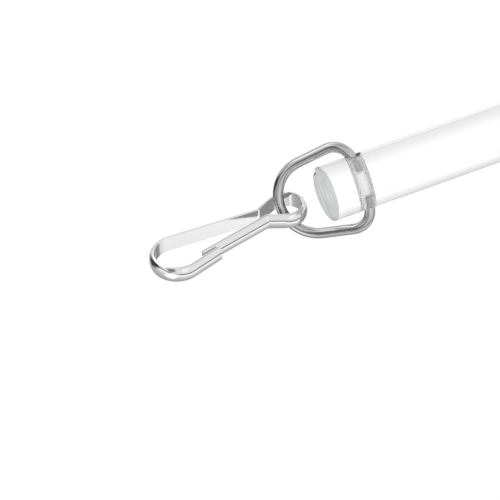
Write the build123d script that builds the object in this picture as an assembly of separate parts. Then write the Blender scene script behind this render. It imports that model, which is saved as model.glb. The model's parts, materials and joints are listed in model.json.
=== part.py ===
"""Curtain wand: a clear acrylic rod, a bent wire ring through a cross hole at its
top, and a one-piece snap hook that clips the wand to a curtain's lead carrier.

Millimetres, +Z up, as the wand hangs. The origin is the point inside the hook's
nose where the hook bears on the carrier. The hook's flat plane is XZ, with its
gate towards +X, and the ring and the rod lean from it as a slack wand does.
"""
import os
from math import acos, asin, atan2, cos, degrees, dist, hypot, pi, radians, sin

from build123d import *

# Wire of the ring, which every loop and hole is sized for
ring_wire = 1.9

# Rod
rod_diameter = 10.0
rod_length = 500.0
hole_play = 1.15
hole_from_end = 6.7

# Chip broken out of the top face's rim
chip_depth = 0.35
chip_length = 1.6
chip_direction = 128.0

# Ring
ring_side_gap = 1.75
ring_bow_gap = 5.99
ring_corner_radius = 3.4
ring_bow_radius = 6.85
leg_depth = 3.5

# Snap hook: its half-round wire, whose flat face is the inner one
strip_width = 3.2
strip_height = 0.95
strip_edge_cut = 0.12

# Snap hook: its bends, measured along the flat inner face
nose_radius = 4.05
nose_above_eye = 22.3
nose_offset = 2.35
nose_arm_length = 6.0
nose_arm_lean = 17.0
eye_play = 1.85
neck_hold = 0.26
neck_rise = 1.5
neck_stagger = 0.75
neck_offset = 0.11
neck_radius = 1.3
gate_overlap = 2.9
gate_clearance = 0.05

# How the slack pieces lie
wire_off_centre = 0.45
wire_above_centre = 0.7
bow_slip = 4.8
hole_twist = 32.0
leg_clearance = 0.2
leg_slip = 0.2
leg_drop = 0.09
ring_lean = 33.5

# What follows from them: the ring is measured along the middle of its wire
hole_diameter = ring_wire + hole_play
ring_width = rod_diameter + 2 * ring_side_gap + ring_wire
ring_length = hypot(hole_from_end, rod_diameter / 2) + ring_bow_gap + ring_wire / 2
eye_radius = ring_wire / 2 + eye_play
neck_gap = ring_wire - neck_hold
leg_tilt = degrees(atan2(hole_play - 2 * leg_clearance, rod_diameter))


def on_circle(centre, radius, angle):
    """The point of a circle at an angle in radians."""
    return (centre[0] + radius * cos(angle), centre[1] + radius * sin(angle))


def tangent_angle(point, centre, radius, side):
    """Where a line from a point touches a circle, on its +1 or -1 side."""
    to_point = atan2(point[1] - centre[1], point[0] - centre[0])
    return to_point + side * acos(radius / dist(point, centre))


def bridge_angle(centre_a, radius_a, centre_b, radius_b, side):
    """The angle at which one straight line touches two circles on the same side."""
    across = atan2(centre_b[1] - centre_a[1], centre_b[0] - centre_a[0])
    return across + side * acos((radius_a - radius_b) / dist(centre_a, centre_b))


def arc(centre, radius, start, end):
    """An arc from a start angle to an end angle, in radians."""
    middle = (start + end) / 2
    return ThreePointArc(
        on_circle(centre, radius, start),
        on_circle(centre, radius, middle),
        on_circle(centre, radius, end),
    )


def corner_arc(before, corner, after, radius):
    """The arc that rounds a corner between two straight lines."""
    into = atan2(before[1] - corner[1], before[0] - corner[0])
    out = atan2(after[1] - corner[1], after[0] - corner[0])
    half = ((out - into + pi) % (2 * pi) - pi) / 2
    setback = radius * abs(cos(half) / sin(half))
    middle = on_circle(corner, radius / abs(sin(half)), into + half)
    inward = atan2(corner[1] - middle[1], corner[0] - middle[0])
    return ThreePointArc(
        on_circle(corner, setback, into),
        on_circle(middle, radius, inward),
        on_circle(corner, setback, out),
    )


def half_round(at, direction):
    """The hook wire's section where its path starts: flat on the path's left, which is
    the inside of every bend, domed on its right, and with the sharp edges taken off."""
    side = strip_width / 2
    rise = strip_height - strip_edge_cut
    dome = EllipticalCenterArc((0, strip_edge_cut), side, rise, start_angle=0, arc_size=180)
    flat = ((strip_edge_cut - side, 0), (side - strip_edge_cut, 0))
    section = make_face(dome + Polyline(dome @ 1, *flat, dome @ 0))
    plane = Plane(origin=(at[0], at[1], 0), x_dir=(0, 0, 1), z_dir=(direction[0], direction[1], 0))
    return plane * section


def snap_hook():
    """One length of half-round wire, bent to a round eye, a pinched neck, a gate arm
    and a rear arm that turns over the nose and ends outside the gate's tip."""
    eye = (0.0, 0.0)
    nose = (nose_offset, nose_above_eye)
    gate_neck = (neck_offset + neck_gap / 2, eye_radius + neck_rise)
    rear_neck = (neck_offset - neck_gap / 2, gate_neck[1] + neck_stagger)

    arm_turn = -radians(nose_arm_lean)
    arm_start = on_circle(nose, nose_radius, arm_turn)
    arm_end = on_circle(arm_start, nose_arm_length, arm_turn - pi / 2)
    rear_turn = tangent_angle(rear_neck, nose, nose_radius, -1) % (2 * pi)
    rear_top = on_circle(nose, nose_radius, rear_turn)
    eye_in = tangent_angle(rear_neck, eye, eye_radius, 1)
    eye_out = tangent_angle(gate_neck, eye, eye_radius, -1) + 2 * pi

    # The gate's domed back just clears the nose arm's end, and its tip goes on past it.
    back = strip_height + gate_clearance
    reach = dist(gate_neck, arm_end)
    to_arm = atan2(arm_end[1] - gate_neck[1], arm_end[0] - gate_neck[0])
    gate_turn = to_arm + asin(back / reach)
    gate_length = (reach**2 - back**2) ** 0.5 + gate_overlap
    gate_tip = on_circle(gate_neck, gate_length, gate_turn)

    rear_bend = corner_arc(rear_top, rear_neck, on_circle(eye, eye_radius, eye_in), neck_radius)
    gate_bend = corner_arc(on_circle(eye, eye_radius, eye_out), gate_neck, gate_tip, neck_radius)
    nose_arc = arc(nose, nose_radius, arm_turn, rear_turn)
    eye_arc = arc(eye, eye_radius, eye_in, eye_out)
    path = [
        Line(arm_end, arm_start),
        nose_arc,
        Line(nose_arc @ 1, rear_bend @ 0),
        rear_bend,
        Line(rear_bend @ 1, eye_arc @ 0),
        eye_arc,
        Line(eye_arc @ 1, gate_bend @ 0),
        gate_bend,
        Line(gate_bend @ 1, gate_tip),
    ]
    wire = Wire([piece.edge() for piece in path])
    direction = (arm_start[0] - arm_end[0], arm_start[1] - arm_end[1])
    return sweep(half_round(arm_end, direction), path=wire)


def ring():
    """Round wire bent to a D, whose two ends meet, a little apart, in the rod's hole."""
    leg_end = rod_diameter / 2 - leg_depth
    bow = (0.0, ring_length - ring_bow_radius)
    right = (ring_width / 2 - ring_corner_radius, ring_corner_radius)
    left = (-right[0], right[1])
    right_turn = bridge_angle(right, ring_corner_radius, bow, ring_bow_radius, -1)
    left_turn = pi - right_turn
    right_corner = arc(right, ring_corner_radius, -pi / 2, right_turn)
    bow_arc = arc(bow, ring_bow_radius, right_turn, left_turn)
    left_corner = arc(left, ring_corner_radius, left_turn, 3 * pi / 2)
    path = [
        Line((leg_end, 0), right_corner @ 0),
        right_corner,
        Line(right_corner @ 1, bow_arc @ 0),
        bow_arc,
        Line(bow_arc @ 1, left_corner @ 0),
        left_corner,
        Line(left_corner @ 1, (-leg_end, 0)),
    ]
    wire = Wire([piece.edge() for piece in path])
    start = Plane(origin=(leg_end, 0, 0), z_dir=(1, 0, 0))
    return sweep(start * Circle(ring_wire / 2), path=wire)


def rod():
    """Solid round rod, sawn square at both ends and drilled across near its top."""
    bar = Cylinder(rod_diameter / 2, rod_length, align=(Align.CENTER, Align.CENTER, Align.MAX))
    hole = Pos(0, 0, -hole_from_end) * Rot(90, 0, 0) * Cylinder(hole_diameter / 2, 2 * rod_diameter)
    chip = Rot(0, 0, chip_direction) * Pos(rod_diameter / 2, 0, 0) * Sphere(chip_length / 2)
    shallow = Box(2 * rod_diameter, 2 * rod_diameter, 2 * chip_depth)
    return bar - hole - (chip & shallow)


def places():
    """Where the slack pieces lie, from the eye down to the rod's top: the eye's centre,
    the middle of the ring's leg, the leg's direction, the bow's, and the rod's top."""
    eye_centre = Vector(-nose_offset, 0, -nose_above_eye - nose_radius)
    twist = radians(hole_twist)
    tilt = radians(leg_tilt)
    lean = radians(ring_lean)
    up = Vector(0, 0, 1)
    across = Vector(-sin(twist), cos(twist), 0)
    leg = across * cos(tilt) + up * sin(tilt)
    upright = up * cos(tilt) - across * sin(tilt)
    bow = upright * cos(lean) + up.cross(across) * sin(lean)

    # The wire crosses the eye a little to one side of the middle of its bow, and the
    # leg lies a little aside and low in its hole.
    slip = radians(bow_slip)
    wire_in_eye = eye_centre + Vector(-wire_off_centre, 0, wire_above_centre)
    bow_centre = wire_in_eye - (bow * cos(slip) - leg * sin(slip)) * ring_bow_radius
    leg_centre = bow_centre - bow * (ring_length - ring_bow_radius)
    hole_centre = leg_centre + leg * leg_slip + up * leg_drop
    rod_top = hole_centre + up * hole_from_end
    return eye_centre, leg_centre, leg, bow, rod_top


def curtain_wand():
    """The three pieces where they lie."""
    eye_centre, leg_centre, leg, bow, rod_top = places()
    ring_plane = Plane(origin=leg_centre, x_dir=leg, z_dir=leg.cross(bow))
    return {
        "snap_hook": Pos(*eye_centre) * Rot(90, 0, 0) * snap_hook(),
        "ring": ring_plane * ring(),
        "rod": Pos(*rod_top) * Rot(0, 0, hole_twist) * rod(),
    }


os.makedirs("parts", exist_ok=True)
for node, solid in curtain_wand().items():
    export_step(solid, f"parts/{node}.step")
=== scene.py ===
# %% [markdown]
# # A curtain wand in clear acrylic and bent wire
#
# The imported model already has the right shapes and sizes: a 10 mm acrylic rod, a steel wire
# ring through its cross hole, and a snap hook of half-round wire. This lesson gives them
# their looks. Clear plastic and bright metal have almost no colour of their own, so most of
# the work is in what they reflect and bend: a white room, and a few dark cards in it.

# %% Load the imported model
import json
import math

import bmesh
import bpy
from mathutils import Matrix, Vector


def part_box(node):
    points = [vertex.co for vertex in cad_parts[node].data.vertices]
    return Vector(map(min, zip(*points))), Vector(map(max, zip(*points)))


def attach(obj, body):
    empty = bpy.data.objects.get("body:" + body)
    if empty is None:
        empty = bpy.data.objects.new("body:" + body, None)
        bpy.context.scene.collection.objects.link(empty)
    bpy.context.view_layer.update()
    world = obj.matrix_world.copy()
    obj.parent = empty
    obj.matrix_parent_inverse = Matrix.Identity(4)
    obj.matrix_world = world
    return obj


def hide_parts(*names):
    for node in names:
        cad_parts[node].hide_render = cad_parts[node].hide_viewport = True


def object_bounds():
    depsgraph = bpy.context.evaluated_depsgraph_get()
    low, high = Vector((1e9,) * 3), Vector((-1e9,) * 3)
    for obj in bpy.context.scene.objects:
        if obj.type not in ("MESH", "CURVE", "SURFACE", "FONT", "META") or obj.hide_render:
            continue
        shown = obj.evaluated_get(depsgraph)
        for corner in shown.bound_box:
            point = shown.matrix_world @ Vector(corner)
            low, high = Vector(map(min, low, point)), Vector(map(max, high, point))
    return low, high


MM = 0.001
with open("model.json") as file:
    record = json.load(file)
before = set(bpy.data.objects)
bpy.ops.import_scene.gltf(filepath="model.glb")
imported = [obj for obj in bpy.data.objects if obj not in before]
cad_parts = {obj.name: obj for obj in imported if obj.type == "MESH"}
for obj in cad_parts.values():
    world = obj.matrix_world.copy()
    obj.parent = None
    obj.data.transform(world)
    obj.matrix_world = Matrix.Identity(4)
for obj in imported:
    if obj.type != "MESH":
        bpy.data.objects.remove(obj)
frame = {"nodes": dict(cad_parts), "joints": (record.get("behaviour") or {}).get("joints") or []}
cad_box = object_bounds()
print("CAD box in mm:", [[round(c / MM, 2) for c in corner] for corner in cad_box])

# %% [markdown]
# ## Where things are
#
# The rod's axis and radius come from its box. The cross hole lies straight across the rod,
# under the ring's leg, and the leg is the hinge that the rod folds on, so the hinge's axis
# without its small tilt is the hole's axis.

# %% Measure the frame
rod_low, rod_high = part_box("rod")
rod_radius = (rod_high.x - rod_low.x) / 2
rod_top = Vector(((rod_low.x + rod_high.x) / 2, (rod_low.y + rod_high.y) / 2, rod_high.z))
rod_length = rod_high.z - rod_low.z
fold = next(joint for joint in frame["joints"] if joint["name"] == "rod_fold")
hole_axis = Vector((fold["axis"][0], fold["axis"][1], 0)).normalized()
hole_radius = 1.525 * MM
hole_from_end = 6.7 * MM
hole_centre = rod_top - Vector((0, 0, hole_from_end))
print("Rod radius", round(rod_radius / MM, 3), "mm, hole along", [round(c, 3) for c in hole_axis])

# %% [markdown]
# ## The camera
#
# The photograph was taken from about half a metre with the wand lying across the picture.
# The model hangs along Z, so the camera is rolled until the rod runs to the right.

# %% Place the camera
CAMERA_OFFSET = Vector((359.15, 342.8, 171.5)) * MM
CAMERA_UP = Vector((-0.5850, 0.7448, -0.3209))
LOOK_BACK = Vector((0.6842, 0.6657, 0.2979))
SENSOR_WIDTH = 36.0
FOCAL_LENGTH = 215.9

camera = bpy.data.objects.new("camera", bpy.data.cameras.new("camera"))
bpy.context.scene.collection.objects.link(camera)
bpy.context.scene.camera = camera
camera.data.sensor_width = SENSOR_WIDTH
camera.data.lens = FOCAL_LENGTH
camera.data.clip_start = 1 * MM
look_back = LOOK_BACK.normalized()
look_right = CAMERA_UP.cross(look_back).normalized()
look_up = look_back.cross(look_right)
turn = Matrix((look_right, look_up, look_back)).transposed()
camera.matrix_world = Matrix.Translation(rod_top + CAMERA_OFFSET) @ turn.to_4x4()
print("Camera at", [round(c, 4) for c in camera.location])

# %% [markdown]
# ## Tools for materials
#
# Colours are written as sRGB hex, as a paint chart gives them, and turned to linear light
# once. One small function adds any node, with its settings and what feeds it. A pattern is
# measured along real directions: a ruler gives the distance along one, in steps of a size.


# %% Write the material tools
def linear(hex_colour):
    """An sRGB hex colour as linear red, green, blue and alpha."""
    channels = [int(hex_colour[i:i + 2], 16) / 255 for i in (1, 3, 5)]
    return [c / 12.92 if c <= 0.04045 else ((c + 0.055) / 1.055) ** 2.4 for c in channels] + [1.0]


def node(tree, kind, inputs=None, **settings):
    """Adds a node. Each input is a value, or the output socket that feeds it."""
    made = tree.nodes.new(kind)
    for name, value in settings.items():
        setattr(made, name, value)
    for socket, value in (inputs or {}).items():
        if isinstance(value, bpy.types.NodeSocket):
            tree.links.new(value, made.inputs[socket])
        else:
            made.inputs[socket].default_value = value
    return made


def material(name, sockets):
    """A new material, its nodes and its shader, with the shader's own sockets set."""
    made = bpy.data.materials.new(name)
    made.use_nodes = True
    shader = made.node_tree.nodes["Principled BSDF"]
    for socket, value in sockets.items():
        shader.inputs[socket].default_value = value
    return made, made.node_tree, shader


def ruler(tree, direction, step):
    """The distance along a direction, in steps of a size in metres."""
    place = node(tree, "ShaderNodeTexCoord").outputs["Object"]
    sockets = {0: place, 1: Vector(direction).normalized() / step}
    return node(tree, "ShaderNodeVectorMath", sockets, operation="DOT_PRODUCT").outputs["Value"]


def grain(tree, steps, detail=2.0, roughness=0.5):
    """Noise whose grain has a size of its own along each of three directions."""
    rulers = [ruler(tree, direction, step) for direction, step in steps]
    place = node(tree, "ShaderNodeCombineXYZ", dict(enumerate(rulers))).outputs[0]
    settings = {"Vector": place, "Scale": 1.0, "Detail": detail, "Roughness": roughness}
    return node(tree, "ShaderNodeTexNoise", settings).outputs[0]


def spread(tree, value, low, high, from_low=0.0, from_high=1.0):
    """Maps a value from the second range given to the first one, and holds it there."""
    ends = {"From Min": from_low, "From Max": from_high, "To Min": low, "To Max": high}
    return node(tree, "ShaderNodeMapRange", {"Value": value, **ends}).outputs[0]


def relief(tree, shader, height, depth, strength=1.0):
    """Bumps the surface by a height of 0 to 1, whose full depth is in metres."""
    bump = node(tree, "ShaderNodeBump", {"Height": height, "Distance": depth, "Strength": strength})
    tree.links.new(bump.outputs[0], shader.inputs["Normal"])


EVEN = ((1, 0, 0), (0, 1, 0), (0, 0, 1))
print("Material tools ready")

# %% [markdown]
# ## Acrylic
#
# One plastic, three finishes. Round the side the bar is as polished as it was cast, with a
# little dust of handling. The sawn end is satin, with the saw's straight streaks, and the grey
# between them is painted shade. The drill left the hole's wall frosted, with fine rings round it.

# %% Make the acrylic
ACRYLIC = {"Base Color": linear("#FEFEFE"), "IOR": 1.49, "Transmission Weight": 1.0}
HANDLING_SIZE = 2.5 * MM
SAW_DIRECTION = Vector((-0.696, 0.718, 0))
# The sawn end's grey is painted shade, not a colour of the plastic.
SAWN_PAINTED_SHADE = "#DADCDC"
SAWN_CLEAR = 0.35
STREAK_LENGTH = 5 * MM
STREAK_WIDTH = 0.45 * MM
STREAK_DEPTH = 0.04 * MM
DRILLED_CLEAR = 0.93
DRILL_RING_PITCH = 0.12 * MM
DRILL_RING_LENGTH = 2 * MM
DRILL_RING_DEPTH = 0.02 * MM
UP = Vector((0, 0, 1))

polished, tree, shader = material("acrylic_polished", {**ACRYLIC, "Roughness": 0.0})
handling = grain(tree, [(direction, HANDLING_SIZE) for direction in EVEN], detail=4.0)
tree.links.new(spread(tree, handling, 0.0, 0.03, 0.45, 0.75), shader.inputs["Roughness"])

saw_side = SAW_DIRECTION.cross(UP)
satin = {**ACRYLIC, "Roughness": 0.5, "Transmission Weight": SAWN_CLEAR}
sawn, tree, shader = material("acrylic_sawn", satin)
saw_steps = [(SAW_DIRECTION, STREAK_LENGTH), (saw_side, STREAK_WIDTH), (UP, STREAK_LENGTH)]
streaks = grain(tree, saw_steps, detail=4.0)
tree.links.new(spread(tree, streaks, 0.35, 0.6, 0.3, 0.7), shader.inputs["Roughness"])
relief(tree, shader, streaks, STREAK_DEPTH)
# Painted shade: the sawn end's grey, broken into streaks along the saw's marks.
painted_shade_streaks = spread(tree, streaks, 0.0, 1.0, 0.35, 0.65)
shades = {0: painted_shade_streaks, 6: linear(SAWN_PAINTED_SHADE), 7: ACRYLIC["Base Color"]}
painted_shade_tint = node(tree, "ShaderNodeMix", shades, data_type="RGBA")
tree.links.new(painted_shade_tint.outputs[2], shader.inputs["Base Color"])

frosted = {**ACRYLIC, "Roughness": 0.55, "Transmission Weight": DRILLED_CLEAR}
drilled, tree, shader = material("acrylic_drilled", frosted)
drill_steps = [(hole_axis, DRILL_RING_PITCH), (saw_side, DRILL_RING_LENGTH), (UP, DRILL_RING_LENGTH)]
rings = grain(tree, drill_steps, detail=3.0)
tree.links.new(spread(tree, rings, 0.42, 0.68, 0.3, 0.7), shader.inputs["Roughness"])
relief(tree, shader, rings, DRILL_RING_DEPTH)
print("Acrylic:", polished.name, sawn.name, drilled.name)

# %% [markdown]
# ## Metal
#
# The ring is drawn steel wire, a little dull. The hook is nickel plated, brighter and
# smoother. Both keep faint cloudy patches and fine scuffs, because no wire is a mirror.

# %% Make the metals
def bright_wire(name, colour, roughness, rough_ends, cloud_size, cloud_depth):
    """Bare or plated wire, cloudy in its polish and in its surface."""
    sockets = {"Base Color": linear(colour), "Metallic": 1.0, "Roughness": roughness}
    made, tree, shader = material(name, sockets)
    clouds = grain(tree, [(direction, cloud_size) for direction in EVEN], detail=5.0)
    tree.links.new(spread(tree, clouds, *rough_ends, 0.3, 0.7), shader.inputs["Roughness"])
    relief(tree, shader, clouds, cloud_depth)
    return made


drawn_steel = bright_wire("drawn_steel", "#B8B8B8", 0.15, (0.1, 0.2), 1.2 * MM, 0.01 * MM)
nickel_plate = bright_wire("nickel_plate", "#DEDEDE", 0.08, (0.05, 0.13), 1.5 * MM, 0.006 * MM)
for name, finish in (("ring", drawn_steel), ("snap_hook", nickel_plate)):
    mesh = frame["nodes"][name].data
    mesh.materials.clear()
    mesh.materials.append(finish)
print("Metals:", drawn_steel.name, nickel_plate.name)

# %% [markdown]
# ## The rod
#
# Refraction shows every flat of a coarse mesh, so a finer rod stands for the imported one, in
# the same place. It is a bar with softened rims, less a drilled hole and a small chip.

# %% Build the fine rod
ROD_SIDES = 256
HOLE_SIDES = 128
RIM_SOFTNESS = 0.05 * MM
CHIP_DIRECTION = math.radians(160)
CHIP_SIZE = Vector((0.8, 0.8, 0.35)) * MM
SHARP_ANGLE = math.radians(8)


def piece_from(build, name):
    """A new object from a function that fills a bmesh."""
    filled = bmesh.new()
    build(filled)
    made = bpy.data.meshes.new(name)
    filled.to_mesh(made)
    filled.free()
    item = bpy.data.objects.new(name, made)
    bpy.context.scene.collection.objects.link(item)
    return item


def bar(filled):
    """The rod's round bar, with its rims softened."""
    middle = Matrix.Translation(rod_top - Vector((0, 0, rod_length / 2)))
    bmesh.ops.create_cone(
        filled, cap_ends=True, segments=ROD_SIDES, radius1=rod_radius, radius2=rod_radius,
        depth=rod_length, matrix=middle,
    )
    rims = [e for e in filled.edges if abs(e.verts[0].co.z - e.verts[1].co.z) < 1e-6]
    bmesh.ops.bevel(filled, geom=rims, offset=RIM_SOFTNESS, segments=2, profile=0.5, affect="EDGES")


def drill(filled):
    """What the drill takes out."""
    across = hole_axis.to_track_quat("Z", "X").to_matrix().to_4x4()
    bmesh.ops.create_cone(
        filled, cap_ends=True, segments=HOLE_SIDES, radius1=hole_radius, radius2=hole_radius,
        depth=4 * rod_radius, matrix=Matrix.Translation(hole_centre) @ across,
    )


def chip(filled):
    """The flake that broke out of the top rim."""
    rim = rod_top + rod_radius * Vector((math.cos(CHIP_DIRECTION), math.sin(CHIP_DIRECTION), 0))
    flake = Matrix.Translation(rim) @ Matrix.Diagonal((*CHIP_SIZE, 1.0))
    bmesh.ops.create_icosphere(filled, subdivisions=4, radius=1.0, matrix=flake)


rod = piece_from(bar, "acrylic_rod")
for cutter in (piece_from(drill, "drill"), piece_from(chip, "chip")):
    cut = rod.modifiers.new(cutter.name, "BOOLEAN")
    cut.operation = "DIFFERENCE"
    cut.object = cutter
    cut.solver = "EXACT"
    as_cut = rod.evaluated_get(bpy.context.evaluated_depsgraph_get())
    finished = bpy.data.meshes.new_from_object(as_cut)
    rod.modifiers.clear()
    rod.data = finished
    bpy.data.objects.remove(cutter)

for finish in (polished, sawn, drilled):
    rod.data.materials.append(finish)
for face in rod.data.polygons:
    from_hole = face.center - hole_centre
    off_hole_axis = (from_hole - from_hole.dot(hole_axis) * hole_axis).length
    within_bar = (face.center - rod_top).xy.length < 0.999 * rod_radius
    if abs(face.normal.z) > 0.99:
        face.material_index = 1
    elif off_hole_axis < 1.01 * hole_radius and within_bar:
        face.material_index = 2
rod.data.shade_smooth()
rod.data.set_sharp_from_angle(angle=SHARP_ANGLE)
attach(rod, "rod")
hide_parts("rod")
print("Fine rod with", len(rod.data.polygons), "faces")

# %% [markdown]
# ## The studio
#
# A white floor and a white world, both exactly white where the camera or a reflection sees
# them, and paler where they only light the object, so nothing burns out. The floor still
# takes a faint shadow. Clear acrylic would vanish in an even white room, so what shows
# through it is white straight behind and a pale grey to the sides, three times round the
# room. The rod bends that grey into its two edges.

# %% Build the white room
FLOOR_BELOW = 25 * MM
ROOM = 1.0
WORLD_LIGHT = 0.8
FLOOR_SHOWN = 0.93
FLOOR_GLOW = 1.05
LIGHT_BOUNCES = 96
WAVES = 3
WHITE_TOWARDS = math.radians(216)
WAVE_ENDS = (-0.8, 0.2)
SIDE_GREY = 0.79
LAMP_SIZE = 1.2 * ROOM
LAMP_POWER = 4.0
LAMP_PLACE = (-0.4, 0.9, 0.4)


def flat_square(name, half):
    """A flat square, given half its side."""
    return piece_from(
        lambda filled: bmesh.ops.create_grid(filled, x_segments=1, y_segments=1, size=half), name,
    )


def math_node(tree, operation, *values):
    """One step of arithmetic."""
    return node(tree, "ShaderNodeMath", dict(enumerate(values)), operation=operation).outputs[0]


def seen(tree):
    """1 where the camera, a reflection or a refraction looks, and 0 for plain light."""
    rays = node(tree, "ShaderNodeLightPath").outputs
    mirrored = math_node(tree, "MAXIMUM", rays["Is Glossy Ray"], rays["Is Transmission Ray"])
    return math_node(tree, "MAXIMUM", rays["Is Camera Ray"], mirrored)


def through_acrylic(tree, place):
    """1, or for what shows through the acrylic a level that goes round the room."""
    through = node(tree, "ShaderNodeLightPath").outputs["Is Transmission Ray"]
    sides = node(tree, "ShaderNodeSeparateXYZ", {0: place}).outputs
    turn = math_node(tree, "ARCTAN2", sides[1], sides[0])
    turns = math_node(tree, "MULTIPLY_ADD", turn, WAVES, -WAVES * WHITE_TOWARDS)
    wave = math_node(tree, "COSINE", turns)
    level = spread(tree, wave, SIDE_GREY, 1.0, *WAVE_ENDS)
    return spread(tree, through, 1.0, level)


world = bpy.data.worlds.new("world")
bpy.context.scene.world = world
world.use_nodes = True
tree = world.node_tree
towards = node(tree, "ShaderNodeTexCoord").outputs["Generated"]
plain = spread(tree, seen(tree), WORLD_LIGHT, 1.0)
brightness = math_node(tree, "MULTIPLY", plain, through_acrylic(tree, towards))
tree.links.new(brightness, tree.nodes["Background"].inputs["Strength"])
tree.nodes["Background"].inputs["Color"].default_value = linear("#FFFFFF")

floor = flat_square("floor", 10 * ROOM)
floor.location = (rod_top.x, rod_top.y, cad_box[0].z - FLOOR_BELOW)
floor_paint, tree, shader = material("floor_white", {"Base Color": linear("#F4F4F4"), "Roughness": 0.9})
place = node(tree, "ShaderNodeTexCoord").outputs["Object"]
strength = math_node(tree, "MULTIPLY", FLOOR_GLOW, through_acrylic(tree, place))
glow = node(tree, "ShaderNodeEmission", {"Color": linear("#FFFFFF"), "Strength": strength})
shown = spread(tree, seen(tree), 0.0, FLOOR_SHOWN)
mix = node(tree, "ShaderNodeMixShader", {0: shown, 1: shader.outputs[0], 2: glow.outputs[0]})
tree.links.new(mix.outputs[0], tree.nodes["Material Output"].inputs["Surface"])
floor.data.materials.append(floor_paint)


def studio_place(right, up, back):
    """A place given from the camera's side of the object, in metres."""
    return rod_top + look_right * right + look_up * up + look_back * back


key = bpy.data.objects.new("key", bpy.data.lights.new("key", "AREA"))
key.data.energy = LAMP_POWER
key.data.size = LAMP_SIZE
key.location = studio_place(*LAMP_PLACE)
key.rotation_euler = (key.location - rod_top).to_track_quat("Z", "Y").to_euler()
key.visible_camera = False
bpy.context.scene.collection.objects.link(key)
for bounces in ("max_bounces", "glossy_bounces", "transmission_bounces"):
    setattr(bpy.context.scene.cycles, bounces, LIGHT_BOUNCES)
print("White room ready")

# %% [markdown]
# ## Cards
#
# In an all-white room metal is a white shape on white. A photographer lays it on a white
# table and stands cards round it: the table's far edge draws one thin dark line along every
# round face, dark cards shade the outlines and white ones make the highlights. The ones here
# have soft edges and show only in the metal. Each is placed by two angles seen from the
# object: round from the camera to the right, and up.

# %% Write the card tools
FAR = 700 * MM
NEAR = 100 * MM


def card_paint(name, level, cover):
    """A flat grey glow, which a cover of 0 to 1 fades out."""
    made, tree, shader = material(name, {})
    glow = node(tree, "ShaderNodeEmission", {"Color": linear("#FFFFFF"), "Strength": level(tree)})
    clear = node(tree, "ShaderNodeBsdfTransparent")
    mix = node(tree, "ShaderNodeMixShader", {0: cover(tree), 1: clear.outputs[0], 2: glow.outputs[0]})
    tree.links.new(mix.outputs[0], tree.nodes["Material Output"].inputs["Surface"])
    return made


def stage_card(made, paint):
    """Shows a card only in the metal."""
    made.visible_camera = False
    made.visible_diffuse = False
    made.visible_shadow = False
    made.visible_transmission = False
    made.data.materials.append(paint)


def fade(tree, side, half, softness):
    """1 in the middle of a card, fading smoothly to 0 at both ends of its x, y or z."""
    place = node(tree, "ShaderNodeTexCoord").outputs["Object"]
    along = node(tree, "ShaderNodeSeparateXYZ", {0: place}).outputs[side]
    off = math_node(tree, "ABSOLUTE", along)
    ramp = {"Value": off, "From Min": half, "From Max": half * (1 - softness)}
    return node(tree, "ShaderNodeMapRange", ramp, interpolation_type="SMOOTHSTEP").outputs[0]


def soft_sides(tree, softness):
    """1 in the middle of a card, fading to 0 at its four edges."""
    return math_node(tree, "MULTIPLY", *(fade(tree, side, 0.5, softness) for side in (0, 1)))


def card(name, towards, spans, level, softness=0.5, away=FAR):
    """A card that faces the object, its place and its spans given as angles in degrees."""
    round_by, up_by = (math.radians(angle) for angle in towards)
    right, back = math.cos(up_by) * math.sin(round_by), math.cos(up_by) * math.cos(round_by)
    place = studio_place(away * right, away * math.sin(up_by), away * back)
    made = flat_square(name, 0.5)
    facing = (place - rod_top).normalized()
    sideways = look_up.cross(facing).normalized()
    axes = Matrix((sideways, facing.cross(sideways), facing)).transposed().to_4x4()
    width, height = (2 * away * math.tan(math.radians(span) / 2) for span in spans)
    made.matrix_world = Matrix.Translation(place) @ axes @ Matrix.Diagonal((width, height, 1, 1))
    paint = card_paint(name, lambda tree: level, lambda tree: soft_sides(tree, softness))
    stage_card(made, paint)


print("Card tools ready")

# %% [markdown]
# The table that the metal sees is a disc close behind it, with a painted shadow of the object
# in its middle. Its far edge is a dark band right round.

# %% Stand the table and its edge
TABLE_FACING = (look_right * 0.31 + look_up * 0.52 + look_back * 0.80).normalized()
TABLE_BEHIND = 80 * MM
TABLE_RADIUS = 550 * MM
TABLE_SHADE = 0.45
TABLE_BRIGHT = 1.25
SHADE_ENDS = (30 * MM, 260 * MM)
EDGE_LEVEL = 0.1
EDGE_HALF = 80 * MM
EDGE_BELOW = 35 * MM

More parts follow.
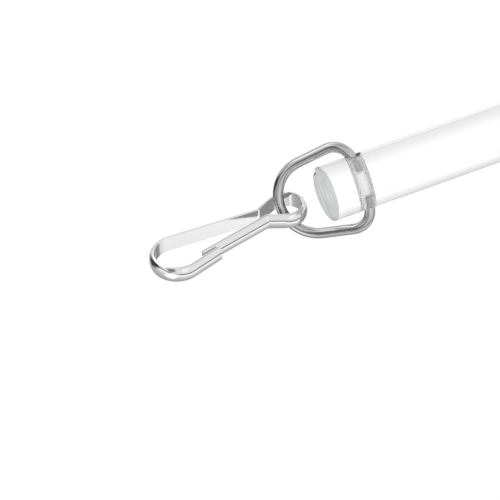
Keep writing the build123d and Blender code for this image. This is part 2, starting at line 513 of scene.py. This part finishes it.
metal_middle = (Vector(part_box("snap_hook")[0]) + Vector(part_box("ring")[1])) / 2
table_turn = TABLE_FACING.to_track_quat("Z", "Y").to_matrix().to_4x4()


def table_disc(filled):
    """A round table top."""
    bmesh.ops.create_circle(filled, cap_ends=True, segments=64, radius=TABLE_RADIUS)


def table_edge(filled):
    """An upright band round the table."""
    for height in (-EDGE_HALF, EDGE_HALF):
        lift = Matrix.Translation((0, 0, height))
        bmesh.ops.create_circle(filled, segments=64, radius=TABLE_RADIUS, matrix=lift)
    bmesh.ops.bridge_loops(filled, edges=filled.edges[:])


def table_level(tree):
    """A painted shadow of the object: dark under it and bright further out."""
    place = node(tree, "ShaderNodeTexCoord").outputs["Object"]
    out = node(tree, "ShaderNodeVectorMath", {0: place}, operation="LENGTH").outputs["Value"]
    return spread(tree, out, TABLE_SHADE, TABLE_BRIGHT, *SHADE_ENDS)


def edge_level(tree):
    """The edge is evenly dark."""
    return EDGE_LEVEL


def edge_cover(tree):
    """The edge fades out above and below."""
    return fade(tree, 2, EDGE_HALF, 1.0)


table = piece_from(table_disc, "table")
table.matrix_world = Matrix.Translation(metal_middle - TABLE_FACING * TABLE_BEHIND) @ table_turn
stage_card(table, card_paint("table", table_level, lambda tree: 1.0))
edge = piece_from(table_edge, "table_edge")
edge.matrix_world = Matrix.Translation(metal_middle - TABLE_FACING * EDGE_BELOW) @ table_turn
stage_card(edge, card_paint("table_edge", edge_level, edge_cover))
print("Table and edge ready")

# %% [markdown]
# Dark cards stand where the photographer and the room's gaps were: round the camera, to the
# left, and behind to the right. A broad grey one hangs above. Two white ones, to the right and
# low on the left, make the highlights on the domed wire.

# %% Stand the cards
card("camera_gap", (-26, -6), (38, 80), 0.25, 0.6)
card("left_gap", (-98, -2), (70, 44), 0.05, 0.6, NEAR)
card("right_gap", (146, -12), (70, 50), 0.35, 0.5, NEAR)
card("upper_card", (15, 62), (100, 70), 0.6, 0.9)
card("right_light", (28, -20), (34, 56), 1.25, 0.6)
card("low_light", (-66, -58), (44, 34), 1.7, 0.6, NEAR)
print("Cards ready")

# %% Finish
bpy.context.scene.view_settings.view_transform = "Standard"
